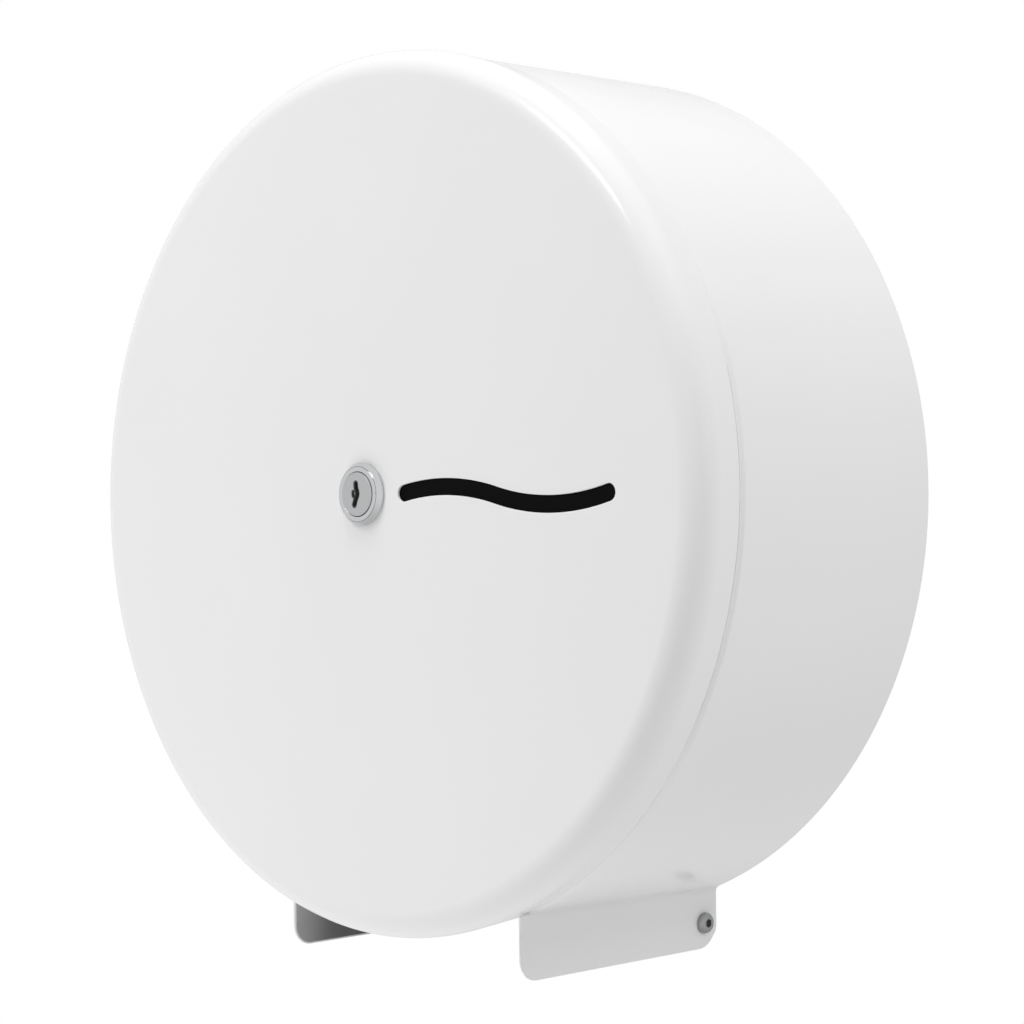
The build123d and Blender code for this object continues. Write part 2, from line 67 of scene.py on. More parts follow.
dish_low, dish_high = extent("cover_dish")
band_low, band_high = extent("cover_band")
lock_low, lock_high = extent("lock_body")
plug_low, plug_high = extent("lock_plug")
screws_low, screws_high = extent("hinge_screws")

# sheet steel
sheet = 1.0  # thickness of the cover's steel, coat included
cut_edge = 0.28  # radius that the coat gives to a cut edge
inner_rounding = 0.4  # of the corners inside the dish
flat_margin = 0.35  # strip beside each bend that keeps the shading of a flat face flat
hairline = 0.01  # less than any length that counts
merge_within = 0.002  # distance at which two points become one
arc_step = 1.1  # length of the steps on a rounded corner
margin_share = 0.4  # most that such a strip takes of the straight line between two bends
drum_count = 384  # points round the dish
band_steps = 330  # round the band's wall
bend_steps = 14  # round the bend to a flap
small_count = 96  # points round the lock, the screws and the floor

# dish
cover_radius = dish_high[2]
face_front = -dish_low[1]
face_inside = face_front - sheet
face_fillet = 9.5
face_corner = cover_radius + 0.79  # where the face's plane meets the line of the wall
dish_neck = cover_radius - 0.8  # radius of the wall at the seam
dish_lip_length = 8.0
dish_lip_gap = 0.05  # between the lip and the band around it
dish_lip_bend = 0.5  # how far the wall's inside reaches in front of the seam
seam_front = -dish_high[1] + dish_lip_length
seam_rounding = 0.4  # of the dish's edge at the seam
seam_fill = 0.2  # radius that the coat gives to the corner behind it

# seam between dish and band, which is open at mid height, flush at the top and filled at the foot
open_top = 0.6  # height over the axis where the seam closes, as a share of the radius
open_top_fade = 0.4  # share of the radius over which it closes
open_foot = -0.8
open_foot_fade = 0.35
open_gap = 1.05  # how far the band stands back where the seam is open
open_length = 1.9  # length over which the band's outer face sinks there
open_depth = 1.0
flush_overlap = 2.0  # how much further the band reaches where it's flush, inside the dish's wall
flush_step = 0.03  # how far the dish's wall stays under the band there
filled_length = 5.0
filled_depth = 0.4
sink_lead = 1.25  # shares of the length behind the edge at which the outer face's rows start

# band
band_back = -band_high[1]
band_front = seam_front + 0.55  # where the coat runs from the band on to the dish
band_front_radius = cover_radius - 0.4
band_back_radius = band_high[0]
band_leave = 0.05  # distance outside the cover's radius where the front edge leaves the seam
band_leave_fade = 0.4
flap_outside = 59.3
flap_bottom = band_low[2]
flap_front = -band_low[1]
flap_bend = 3.2
flap_front_corner = 7.5
flap_back_corner = 9.4
flap_hole = 2.08  # radius
flap_hole_count = 40

# sight slot
slot_width = 5.8
slot_start = 21.1  # of its middle line, from the axis
slot_end = 116.8
wave_crest_x = 40.0
wave_half_length = 51.5  # from the crest to the trough
wave_level = -1.7  # height over the axis of the line between the two
wave_rise = 3.4

# lock
barrel_radius = 9.4
barrel_hole = 9.45
barrel_back = -lock_high[1]
bezel_radius = lock_high[0]
bezel_front = -lock_low[1]
bezel_flat_radius = bezel_radius - 1.7
bezel_edge = 0.9  # height of its outermost rim on the face
groove_floor = (0.12, 0.6)  # fine groove round the flat: (outside it, below it)
groove_side = (0.32, 0.2)
bezel_roundings = [0.18, 0.12, 0.03, 0.05, 0.4, 0.1]  # from the plug's opening to the face
thread_pitch = 1.0
thread_depth = 0.5
thread_rows = 8  # in one turn
plug_radius = plug_high[0]
plug_front = -plug_low[1]
plug_gap = 0.2
plug_rounding = 0.22
plug_stub = 3.5  # radius of the end that carries the cam
stub_rounding = 0.1
keyway_width = 1.6
keyway_depth = 2.0
keyway_rounding = 0.12
keyway_bends = [(-0.3, 3.6), (-0.3, 2.2), (0.75, 0.1), (-0.55, -1.9), (-1.1, -3.6)]
ward_width = 0.75
ward_bends = [(-1.75, 0.8), (-1.85, 0.2), (-1.7, -0.5)]

# hinge screws
screw_place = ((screws_low + screws_high) / 2)[1:]  # the hinge's axis: Y and Z
screw_head_radius = (screws_high[2] - screws_low[2]) / 2
screw_tip = 50.6  # distance of its end from the middle of the case
screw_seat = 59.6  # and of the underside of its head
screw_head_top = screws_high[0]
screw_head_rim = 0.25  # height of the straight rim under the dome
screw_radius = 2.0
screw_chamfer = 0.3
screw_break = 0.1  # on the head's lower edge and round the socket
screw_flat_radius = 2.1  # of the flat round the socket
hex_flats = 2.8
hex_depth = 1.4

# --------------------------------------------------------------- materials


def colour(code):
    """Linear colour of a six-digit sRGB hex code."""
    values = [int(code[i:i + 2], 16) / 255 for i in (1, 3, 5)]
    linear = [v / 12.92 if v <= 0.04045 else ((v + 0.055) / 1.055) ** 2.4 for v in values]
    return (*linear, 1.0)


def add(tree, kind, settings=None, inputs=None):
    """Add a node; an input is given as a plain value or as the socket that feeds it."""
    node = tree.nodes.new(kind)
    for name, value in (settings or {}).items():
        setattr(node, name, value)
    for name, value in (inputs or {}).items():
        if isinstance(value, bpy.types.NodeSocket):
            tree.links.new(value, node.inputs[name])
        else:
            node.inputs[name].default_value = value
    return node


def per_metre(millimetres):
    """Scale of a noise whose features are this far apart."""
    return 1 / (millimetres * MM)


def new_material(name):
    """Empty node material, its node tree, and the Object coordinates on the piece."""
    material = bpy.data.materials.new(name)
    material.use_nodes = True
    tree = material.node_tree
    tree.nodes.clear()
    place = add(tree, "ShaderNodeTexCoord").outputs["Object"]
    return material, tree, place


def finish_material(tree, shader):
    """Link the shader to the material's output."""
    add(tree, "ShaderNodeOutputMaterial", inputs={"Surface": shader.outputs[0]})


def powder_coat():
    """Polyester powder coat on steel, baked: a hard gloss white whose surface carries a very
    shallow orange peel, 2.5 mm from bump to bump, and a slight unevenness of gloss."""
    material, tree, place = new_material("white_powder_coat")
    peel = add(tree, "ShaderNodeTexNoise",
               inputs={"Vector": place, "Scale": per_metre(2.5), "Detail": 1.0})
    bump = add(tree, "ShaderNodeBump",
               inputs={"Height": peel.outputs["Fac"], "Distance": 0.012 * MM, "Strength": 0.5})
    cloud = add(tree, "ShaderNodeTexNoise",
                inputs={"Vector": place, "Scale": per_metre(60), "Detail": 2.0})
    gloss = add(tree, "ShaderNodeMapRange",
                inputs={"Value": cloud.outputs["Fac"], "From Min": 0.3, "From Max": 0.7,
                        "To Min": 0.13, "To Max": 0.18})
    tint = add(tree, "ShaderNodeMix", {"data_type": "RGBA"},
               {"Factor": cloud.outputs["Fac"], "A": colour("#EFEFEF"), "B": colour("#F2F2F2")})
    shader = add(tree, "ShaderNodeBsdfPrincipled",
                 inputs={"Base Color": tint.outputs["Result"], "IOR": 1.5,
                         "Roughness": gloss.outputs["Result"], "Normal": bump.outputs["Normal"]})
    finish_material(tree, shader)
    return material


def plated_metal(name, code, roughness, grain_mm, unevenness):
    """Plated or turned metal: its colour, its mean roughness, and a fine grain that varies the
    gloss by as much as its unevenness says."""
    material, tree, place = new_material(name)
    grain = add(tree, "ShaderNodeTexNoise",
                inputs={"Vector": place, "Scale": per_metre(grain_mm), "Detail": 3.0})
    gloss = add(tree, "ShaderNodeMapRange",
                inputs={"Value": grain.outputs["Fac"], "From Min": 0.3, "From Max": 0.7,
                        "To Min": roughness - unevenness, "To Max": roughness + unevenness})
    bump = add(tree, "ShaderNodeBump",
               inputs={"Height": grain.outputs["Fac"], "Distance": 0.004 * MM, "Strength": 0.4})
    shader = add(tree, "ShaderNodeBsdfPrincipled",
                 inputs={"Base Color": colour(code), "Metallic": 1.0,
                         "Roughness": gloss.outputs["Result"], "Normal": bump.outputs["Normal"]})
    finish_material(tree, shader)
    return material


def moulded_plastic(name, code, roughness, grain_mm, specular=0.5):
    """Moulded plastic: its colour, and the fine texture of the mould in its gloss and bump."""
    material, tree, place = new_material(name)
    grain = add(tree, "ShaderNodeTexNoise",
                inputs={"Vector": place, "Scale": per_metre(grain_mm), "Detail": 2.0})
    gloss = add(tree, "ShaderNodeMapRange",
                inputs={"Value": grain.outputs["Fac"], "From Min": 0.3, "From Max": 0.7,
                        "To Min": roughness - 0.05, "To Max": roughness + 0.05})
    bump = add(tree, "ShaderNodeBump",
               inputs={"Height": grain.outputs["Fac"], "Distance": 0.01 * MM, "Strength": 0.5})
    shader = add(tree, "ShaderNodeBsdfPrincipled",
                 inputs={"Base Color": colour(code), "Roughness": gloss.outputs["Result"],
                         "Normal": bump.outputs["Normal"], "Specular IOR Level": specular})
    finish_material(tree, shader)
    return material


def painted_inner_shade():
    """Inside of the cover, in painted shade: a dull grey that stands in for the shade inside the
    case, lighter at the front edge of the flaps and darker further back, with soft clouds in it."""
    material, tree, place = new_material("painted_inner_shade")
    cloud = add(tree, "ShaderNodeTexNoise",
                inputs={"Vector": place, "Scale": per_metre(14), "Detail": 3.0})
    along = add(tree, "ShaderNodeSeparateXYZ", inputs={0: place}).outputs["Y"]
    shift = add(tree, "ShaderNodeMath", {"operation": "MULTIPLY_ADD"},
                {0: cloud.outputs["Fac"], 1: 8 * MM, 2: along}).outputs[0]
    # Painted shade: the grey darkens from the flaps' front edge towards the back, where the shade
    # inside the case deepens, and the clouds shift that edge.
    cover = add(tree, "ShaderNodeMapRange", {"interpolation_type": "SMOOTHSTEP"},
                {"Value": shift, "From Min": -76 * MM, "From Max": -106 * MM})
    tint = add(tree, "ShaderNodeMix", {"data_type": "RGBA"},
               {"Factor": cover.outputs["Result"], "A": colour("#686868"), "B": colour("#B8B8B8")})
    bump = add(tree, "ShaderNodeBump",
               inputs={"Height": cloud.outputs["Fac"], "Distance": 0.01 * MM, "Strength": 0.5})
    shader = add(tree, "ShaderNodeBsdfPrincipled",
                 inputs={"Base Color": tint.outputs["Result"], "Roughness": 0.45,
                         "Normal": bump.outputs["Normal"]})
    finish_material(tree, shader)
    return material


white_coat = powder_coat()
# Painted shade for every inner face of the cover, dish and band alike.
painted_shade_inside = painted_inner_shade()
# Polished chrome mirrors the studio, satin chrome and the turned stainless screws only blur it,
# and the zinc plate of the hidden fittings is dull with a visible grain.
chrome = plated_metal("chrome_plate", "#D8D9DA", 0.10, 6.0, 0.02)
satin_chrome = plated_metal("satin_chrome", "#C8C9CA", 0.34, 0.6, 0.04)
zinc = plated_metal("zinc_plated_steel", "#B4B6B8", 0.36, 1.5, 0.06)
stainless = plated_metal("stainless_screw", "#A0A1A2", 0.30, 0.8, 0.05)
brass = plated_metal("brass", "#C2A260", 0.28, 1.0, 0.05)
hub_plastic = moulded_plastic("hub_plastic", "#D9DAD8", 0.42, 0.5)
nylon = moulded_plastic("nylon", "#E0DED4", 0.50, 0.5)
# The walls of keyways and sockets, where hardly any light gets in: dark and dull.
recess = moulded_plastic("keyway_shadow", "#484848", 0.60, 1.0)
# The window behind the slot, which looks black and hardly shines.
smoked_plastic = moulded_plastic("smoked_plastic", "#060606", 0.55, 0.6, specular=0.05)
material_of_slot = {
    "white_powder_coat": white_coat,
    "zinc_plated_steel": zinc,
    "chrome_plate": chrome,
    "satin_chrome": satin_chrome,
    "stainless_screw": stainless,
    "brass": brass,
    "hub_plastic": hub_plastic,
    "nylon": nylon,
    "smoked_plastic": smoked_plastic,
}

# ------------------------------------------------------- outlines and grids
#
# An outline is an array of points with two columns. A patch is a pair: points in
# millimetres as (X, forward, Z), and faces as lists of their numbers.


def arc(centre, radius, start, end, steps):
    """Points on a circle about centre, from one angle to another in radians."""
    angle = np.linspace(start, end, steps + 1)
    return np.array(centre) + radius * np.column_stack((np.cos(angle), np.sin(angle)))


def circle(radius, count, centre=(0.0, 0.0)):
    """Closed outline of a circle."""
    return arc(centre, radius, 0, 2 * pi, count)[:-1]


def outline(corners, radii):
    """Line through corners, each turned into an arc of its radius, or kept where that is 0.

    With unit vectors a and b towards the neighbours and the angle 2h between them, the arc
    touches the sides at radius / tan(h) and its centre lies radius / sin(h) from the corner
    along a + b. Where there's room, a point before and behind each arc keeps the sides flat.
    """
    corners, radii = np.array(corners, float), np.array(radii, float)
    before, after = np.roll(corners, 1, axis=0) - corners, np.roll(corners, -1, axis=0) - corners
    room_before, room_after = np.linalg.norm(before, axis=1), np.linalg.norm(after, axis=1)
    a, b = before / room_before[:, None], after / room_after[:, None]
    half = np.arccos(np.clip((a * b).sum(axis=1), -1, 1)) / 2
    reach = np.where(radii > 0, radii / np.tan(half), 0)
    free_before = room_before - reach - np.roll(reach, 1)
    free_after = room_after - reach - np.roll(reach, -1)
    lead = reach + np.minimum(flat_margin, margin_share * free_before)
    trail = reach + np.minimum(flat_margin, margin_share * free_after)
    rows = []
    for i, (corner, radius) in enumerate(zip(corners, radii)):
        if radius == 0:
            rows.append([corner])
            continue
        centre = (a[i] + b[i]) / np.linalg.norm(a[i] + b[i]) * radius / np.sin(half[i])
        first, last = a[i] * reach[i] - centre, b[i] * reach[i] - centre
        turn = pi - 2 * half[i]
        share = np.linspace(0, 1, 4 + int(radius * turn / arc_step))[:, None]
        curve = (np.sin((1 - share) * turn) * first + np.sin(share * turn) * last) / np.sin(turn)
        rows += [[corner + a[i] * lead[i]], corner + centre + curve, [corner + b[i] * trail[i]]]
    return np.vstack(rows)


def spline(bends, steps):
    """Smooth line: a quadratic B-spline on the bends, which starts and ends on the outer two.

    Each piece runs from one midpoint to the next as (1-t)^2 p + 2 t (1-t) q + t^2 r.
    """
    bends = np.array(bends, float)
    middles = (bends[:-1] + bends[1:]) / 2
    starts = np.vstack((bends[:1], middles[1:-1]))
    ends = np.vstack((middles[1:-1], bends[-1:]))
    t = np.linspace(0, 1, steps + 1)[:-1, None, None]
    curve = (1 - t) ** 2 * starts + 2 * t * (1 - t) * bends[1:-1] + t**2 * ends
    return np.vstack((curve.transpose(1, 0, 2).reshape(-1, 2), bends[-1:]))


def smooth(share):
    """S-curve from 0 to 1, level at both ends: 3 share^2 - 2 share^3."""
    return share**2 * (3 - 2 * share)


def outward(loop):
    """Unit vectors square to a closed outline, to its right where it runs anticlockwise."""
    along = np.roll(loop, -1, axis=0) - np.roll(loop, 1, axis=0)
    along /= np.linalg.norm(along, axis=1, keepdims=True)
    return np.column_stack((along[:, 1], -along[:, 0]))


def round_slot(path, width, steps=12):
    """Closed outline at half the width from a path: one side, a half circle, the other side
    back and a half circle."""
    along = np.gradient(path, axis=0)
    along /= np.linalg.norm(along, axis=1, keepdims=True)
    square = np.column_stack((-along[:, 1], along[:, 0]))
    turn = np.linspace(0, pi, steps + 1)[1:-1, None]
    far_end = path[-1] + width / 2 * (np.cos(turn) * square[-1] + np.sin(turn) * along[-1])
    near_end = path[0] - width / 2 * (np.cos(turn) * square[0] + np.sin(turn) * along[0])
    upper, lower = path + width / 2 * square, path - width / 2 * square
    return np.vstack((upper, far_end, lower[::-1], near_end))[::-1]


def grid(points, wrap=True):
    """Patch of a grid of points in space, rows by columns by three, with faces of four corners
    each. Where wrap is true the last column joins the first."""
    rows, columns, _ = points.shape
    i = np.arange(rows - 1)[:, None] * columns
    j = np.arange(columns if wrap else columns - 1)[None, :]
    next_j = (j + 1) % columns
    corners = (i + j, i + next_j, i + columns + next_j, i + columns + j)
    return points.reshape(-1, 3), np.stack(corners, axis=-1).reshape(-1, 4).tolist()


def turned(profile, count, swell=0.0):
    """Patch of a profile (radius, forward) carried once round the case's axis:
    X = radius cos(angle), Z = radius sin(angle). Swell is added to the radius."""
    angle = np.arange(count) * 2 * pi / count
    radius = profile[:, :1] + swell
    points = np.stack(np.broadcast_arrays(
        radius * np.cos(angle), profile[:, 1:], radius * np.sin(angle)), axis=-1)
    return grid(points)


def flat(forward, loops):
    """Flat patch at one distance from the wall: the first outline, less the others."""
    points = np.vstack(loops)
    faces = tessellate_polygon([[Vector((x, z, 0)) for x, z in loop] for loop in loops])
    placed = np.column_stack((points[:, 0], np.full(len(points), forward), points[:, 1]))
    return placed, [list(face) for face in faces]


def cut_profile(front, back, rounding=cut_edge, steps=4):
    """Section of a cut edge: (distance into the sheet, forward), from the flat strip in front
    round to the one behind."""
    turn = np.linspace(0, pi / 2, steps + 1)
    into, over = rounding * (1 - np.sin(turn)), rounding * (1 - np.cos(turn))
    ahead = np.column_stack((into, front - over))
    behind = np.column_stack((into, back + over))[::-1]
    strip = rounding + flat_margin
    return np.vstack(([[strip, front]], ahead, behind, [[strip, back]]))


def hole(loop, profile):
    """Patch and end outlines of a cut edge carried round a hole: each row of the profile is
    the outline moved outwards by its distance into the sheet."""
    square = outward(loop)
    rows = [loop + square * into for into, _ in profile]
    points = np.stack([
        np.column_stack((row[:, 0], np.full(len(row), forward), row[:, 1]))
        for row, (_, forward) in zip(rows, profile)
    ])
    return grid(points), rows[0], rows[-1]


# ------------------------------------------------------------------ pieces

body_of_node = {
    node: body
    for body, nodes in frame["record"]["behaviour"]["bodies"].items() for node in nodes
}
slot_of_node = {part["node"]: part["material_slot"] for part in frame["record"]["subparts"]}


def piece(name, node, patches, inner=(), inner_finish=None):
    """Join patches into one closed mesh that stands for a node and takes its place and finish.

    The inner patches come last and have a finish of their own. Patches meet in shared lines, so
    their doubled points are merged before the faces are turned outwards.
    """
    points, faces, offset = [], [], 0
    for patch_points, patch_faces in (*patches, *inner):
        points.append(patch_points)
        faces += [[corner + offset for corner in face] for face in patch_faces]
        offset += len(patch_points)
    points = np.vstack(points) * [MM, -MM, MM]
    mesh = bpy.data.meshes.new(name)
    mesh.from_pydata(points.tolist(), [], faces)
    mesh.materials.append(material_of_slot[slot_of_node[node]])
    if inner:
        mesh.materials.append(inner_finish)
        inner_count = sum(len(patch_faces) for _, patch_faces in inner)
        is_inner = np.arange(len(mesh.polygons)) >= len(mesh.polygons) - inner_count
        mesh.polygons.foreach_set("material_index", is_inner.astype(np.int32))
    edit = bmesh.new()
    edit.from_mesh(mesh)
    bmesh.ops.remove_doubles(edit, verts=edit.verts, dist=merge_within * MM)
    bmesh.ops.dissolve_degenerate(edit, edges=edit.edges, dist=merge_within / 2 * MM)
    bmesh.ops.recalc_face_normals(edit, faces=edit.faces)
    edit.to_mesh(mesh)
    edit.free()
    mesh.shade_smooth()
    made = bpy.data.objects.new(name, mesh)
    bpy.context.scene.collection.objects.link(made)
    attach(made, body_of_node[node])
    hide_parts(node)


# ------------------------------------------------------------------- cover


def wave_path(steps=96):
    """Middle line of the sight slot: two arcs of one radius, a crest and a trough.

    With half the chord c = wave_half_length / 2 the radius is (c^2 + rise^2) / (2 rise), and
    an arc's height at x is sqrt(radius^2 - (x - top)^2) - (radius - rise).
    """
    radius = ((wave_half_length / 2) ** 2 + wave_rise**2) / (2 * wave_rise)
    middle = wave_crest_x + wave_half_length / 2
    x = np.linspace(slot_start, slot_end, steps + 1)
    way = np.where(x < middle, 1.0, -1.0)
    top = np.where(x < middle, wave_crest_x, wave_crest_x + wave_half_length)
    height = np.sqrt(radius**2 - (x - top) ** 2) - (radius - wave_rise)
    return np.column_stack((x, wave_level + way * height))


def seam_state(height):
    """How open and how flush the seam is, from 0 to 1, at a height over the axis that is given
    as a share of the radius. It's open at mid height and flush at the top."""
    below_top = np.clip((open_top - height) / open_top_fade, 0, 1)
    above_foot = np.clip((height - open_foot) / open_foot_fade, 0, 1)
    is_open = smooth(below_top * above_foot)
    return is_open, np.where(height > 0, 1 - is_open, 0)


def make_dish():
    """Drawn dish: a turned wall between two flat faces, with the slot and the lock's hole.

    Above, the wall swells towards the seam until it's flush with the band.
    """
    lip_radius = band_front_radius - sheet - dish_lip_gap
    lip_back = seam_front - dish_lip_length
    ring = cover_radius - face_fillet - 2 * flat_margin
    corners = [
        (ring, face_front), (face_corner, face_front), (dish_neck, seam_front),
        (lip_radius, seam_front), (lip_radius, lip_back), (lip_radius - sheet, lip_back),
        (lip_radius - sheet, seam_front + dish_lip_bend), (dish_neck - sheet, seam_front + sheet),
        (face_corner - sheet, face_inside), (ring, face_inside),
    ]
    radii = [0, face_fillet, seam_rounding, seam_fill, cut_edge, cut_edge, inner_rounding,
             inner_rounding, face_fillet - sheet, 0]
    wall = outline(corners, radii)
    turn_in = np.flatnonzero(wall[:, 1] < lip_back + 2 * cut_edge)[-1]
    outer_wall = wall[:turn_in + 1]
    # Share of the way from the fillet to the seam. The lip behind the seam doesn't swell.
    wall_front = face_front - face_fillet
    along = np.maximum((wall_front - outer_wall[:, 1]) / (wall_front - seam_front), 0)
    along[outer_wall[:, 1] < seam_front + hairline] = 0
    _, is_flush = seam_state(np.sin(np.arange(drum_count) * 2 * pi / drum_count))
    swell = (band_front_radius - flush_step - dish_neck) * along[:, None] * is_flush
    edge = cut_profile(face_front, face_inside)
    slot, slot_front, slot_behind = hole(round_slot(wave_path(), slot_width), edge)
    lock, lock_front, lock_behind = hole(circle(barrel_hole, small_count), edge)
    face = flat(face_front, [circle(ring, drum_count), slot_front, lock_front])
    inside = flat(face_inside, [circle(ring, drum_count), slot_behind, lock_behind])
    # The inside of the dish and its lip are in painted shade.
    piece("dish", "cover_dish",
          [turned(outer_wall, drum_count, swell=swell), slot, lock, face],
          [turned(wall[turn_in:], drum_count), inside], painted_shade_inside)


def band_section(outside_radius):
    """Outer line of the band across its depth and its unit normals, right flap to left flap.

    The round wall turns about the axis. Each bend is an arc outside it that touches both the
    wall and the flap, so its centre lies at flap_outside + flap_bend from the middle and
    outside_radius + flap_bend from the axis.
    """
    bend_x = flap_outside + flap_bend
    bend_z = -sqrt((outside_radius + flap_bend) ** 2 - bend_x**2)
    turn = atan2(-bend_z, bend_x)
    right_bend = arc((bend_x, bend_z), flap_bend, pi, pi - turn, bend_steps)
    right_square = (np.array([bend_x, bend_z]) - right_bend) / flap_bend
    wall = arc((0, 0), outside_radius, -turn, pi + turn, band_steps)
    line = np.vstack((right_bend, wall[1:-1], (right_bend * [-1, 1])[::-1]))
    square = np.vstack((right_square, wall[1:-1] / outside_radius,
                        (right_square * [-1, 1])[::-1]))
    return line, square


def make_band():
    """Rolled band: a sheet's section carried along the outer line, and two flat flaps.

    A point of the section is given by its distance forward and its depth under the outer
    line. The outer line at a distance forward lies on the straight line from the band's
    front to its back. Along the seam with the dish the outer face sinks to its front edge in
    an S. Where the bend leaves the dish, the front edge runs on to the flap's.
    """
    front_line, front_square = band_section(band_front_radius)
    back_line, back_square = band_section(band_back_radius)
    from_axis = np.linalg.norm(front_line, axis=1)
    leave = smooth(np.clip((from_axis - cover_radius - band_leave) / band_leave_fade, 0, 1))
    is_open, is_flush = seam_state(front_line[:, 1] / band_front_radius)
    seam = band_front - open_gap * is_open + flush_overlap * is_flush
    front = seam + (flap_front - seam) * leave
    edge = cut_profile(0, -sheet)
    half = len(edge)
    # Section: the front edge from the outer face to the inner, then the rear edge back.
    is_filled = 1 - is_open - is_flush
    sink = open_depth * is_open + filled_depth * is_filled
    length = open_length * is_open + filled_length * (1 - is_open)
    outer = edge[:, 1] >= -cut_edge
    share = np.linspace(sink_lead, 0, outer.sum())[:, None]
    seam_edge = np.repeat(edge[..., None], len(front_line), axis=2)
    seam_edge[outer] = np.stack(
        (share * length, -smooth(1 - np.minimum(share, 1)) * sink), axis=1)
    front_edge = seam_edge + (edge[..., None] - seam_edge) * leave
    rear_edge = np.broadcast_to(edge[::-1, :, None], front_edge.shape)
    into, depth = np.concatenate((front_edge, rear_edge)).transpose(1, 0, 2)
    at_front = np.arange(2 * half)[:, None] < half
    forward = np.where(at_front, front - into, band_back + into)
    to_front = ((forward - band_back) / (band_front - band_back))[..., None]
    line = back_line + to_front * (front_line - back_line)
    square = back_square + to_front * (front_square - back_square)
    square /= np.linalg.norm(square, axis=-1, keepdims=True)
    place = line + square * depth[..., None]
    points = np.stack((place[..., 0], forward, place[..., 1]), axis=-1)
    outer_rows = np.roll(points, -half - 1, axis=0)[:-2]
    patches = [grid(outer_rows, wrap=False)]
    inner = [grid(points[half - 2:half + 2], wrap=False)]
    for side, column in ((1, 0), (-1, -1)):
        *outside, inside = flap_patches(side, points[:, column], edge)
        patches += outside
        inner.append(inside)
    # The inside of the band and the inner sides of the flaps are in painted shade.
    piece("band", "cover_band", patches, inner, painted_shade_inside)


def flap_patches(side, seam, edge):
    """Flap below a bend: its cut edge carried down the front, round the foot and up the back,
    its two faces, and the hole for the hinge screw.

    The seam is the bend's last section, where the flap starts.
    """
    half = len(edge)
    front_top, back_top = seam[0], seam[-1]
    start = (front_top[1] + edge[0, 0], front_top[2])
    end = (back_top[1] - edge[0, 0], back_top[2])
    # The path is in (forward, Z), and the sheet lies to its left.
    path = outline([start, (start[0], flap_bottom), (end[0], flap_bottom), end],
                   [0, flap_front_corner, flap_back_corner, 0])
    along = np.gradient(path, axis=0)
    along[0], along[-1] = (0, -1), (0, 1)
    along /= np.linalg.norm(along, axis=1, keepdims=True)
    inward = np.column_stack((along[:, 1], -along[:, 0]))
    rows = path + inward * edge[:, 0][:, None, None]
    # The rows start and end on the seam's slanted line.
    rows[:, 0, 1] = seam[:half, 2]
    rows[:, -1, 1] = seam[half:, 2][::-1]
    across = side * (flap_outside + edge[:, 1])
    points = np.stack((np.broadcast_to(across[:, None], rows.shape[:2]), rows[..., 0],
                       rows[..., 1]), axis=-1)
    screw_hole = circle(flap_hole, flap_hole_count, (-screw_place[0], screw_place[1]))
    bore, bore_outside, bore_inside = hole(screw_hole, edge)
    bore_points = np.column_stack((side * (flap_outside + bore[0][:, 1]), bore[0][:, 0],
                                   bore[0][:, 2]))
    faces = []
    for x, rim, gap in ((across[0], rows[0], bore_outside), (across[-1], rows[-1], bore_inside)):
        flat_points, flat_faces = flat(x, [rim, gap])
        faces.append((flat_points[:, [1, 0, 2]], flat_faces))
    return [grid(points, wrap=False), (bore_points, bore[1]), *faces]


# -------------------------------------------------------------------- lock


def make_lock_body():
    """Bezel with a sloped edge on a threaded barrel.

    The thread is a helix: at an angle the radius is the barrel's less thread_depth times a
    triangle wave of (forward / pitch - angle / 2 pi), and it fades out at both ends.
    """
    inside = plug_radius + plug_gap
    groove = [(bezel_flat_radius + out, bezel_front - below)
              for out, below in (groove_floor, groove_side)]
    head = outline(
        [(inside, barrel_back), (inside, bezel_front), (bezel_flat_radius, bezel_front), *groove,
         (bezel_radius, face_front + bezel_edge), (bezel_radius, face_front),
         (barrel_radius, face_front), (barrel_radius, face_inside)],
        [0, *bezel_roundings, 0, 0])
    angle = np.arange(small_count) * 2 * pi / small_count
    turns = (face_inside - barrel_back) / thread_pitch
    forward = np.linspace(face_inside, barrel_back, round(turns * thread_rows) + 1)
    wave = (forward[:, None] / thread_pitch - angle / (2 * pi)) % 1
    fade = np.clip(np.minimum(face_inside - forward, forward - barrel_back) / thread_pitch, 0, 1)
    radius = barrel_radius - thread_depth * np.abs(2 * wave - 1) * fade[:, None]
    points = np.stack((radius * np.cos(angle), np.repeat(forward[:, None], small_count, axis=1),
                       radius * np.sin(angle)), axis=-1)
    tail = np.array([(barrel_radius, barrel_back), (inside, barrel_back)])
    piece("lock_bezel", "lock_body",
          [turned(head, small_count), grid(points), turned(tail, small_count)])


def make_lock_plug():
    """Turned plug whose front is cut by the keyway and its side ward."""
    stub_back = -plug_high[1]
    ring = plug_radius - plug_rounding - flat_margin
    side = outline(
        [(ring, plug_front), (plug_radius, plug_front), (plug_radius, barrel_back),
         (plug_stub, barrel_back), (plug_stub, stub_back), (0, stub_back)],
        [0, plug_rounding, stub_rounding, 0, stub_rounding, 0])
    edge = cut_profile(plug_front, plug_front - keyway_depth, rounding=keyway_rounding)[:-2]
    keyway, keyway_front, keyway_floor = hole(
        round_slot(spline(keyway_bends, 8), keyway_width), edge)
    ward, ward_front, ward_floor = hole(round_slot(spline(ward_bends, 8), ward_width), edge)
    floor_front = edge[-1, 1]
    face = flat(plug_front, [circle(ring, small_count), keyway_front, ward_front])
    piece("lock_plug_front", "lock_plug", [turned(side, small_count), face],
          [keyway, ward, flat(floor_front, [keyway_floor]), flat(floor_front, [ward_floor])],
          recess)


# ------------------------------------------------------------- hinge screws


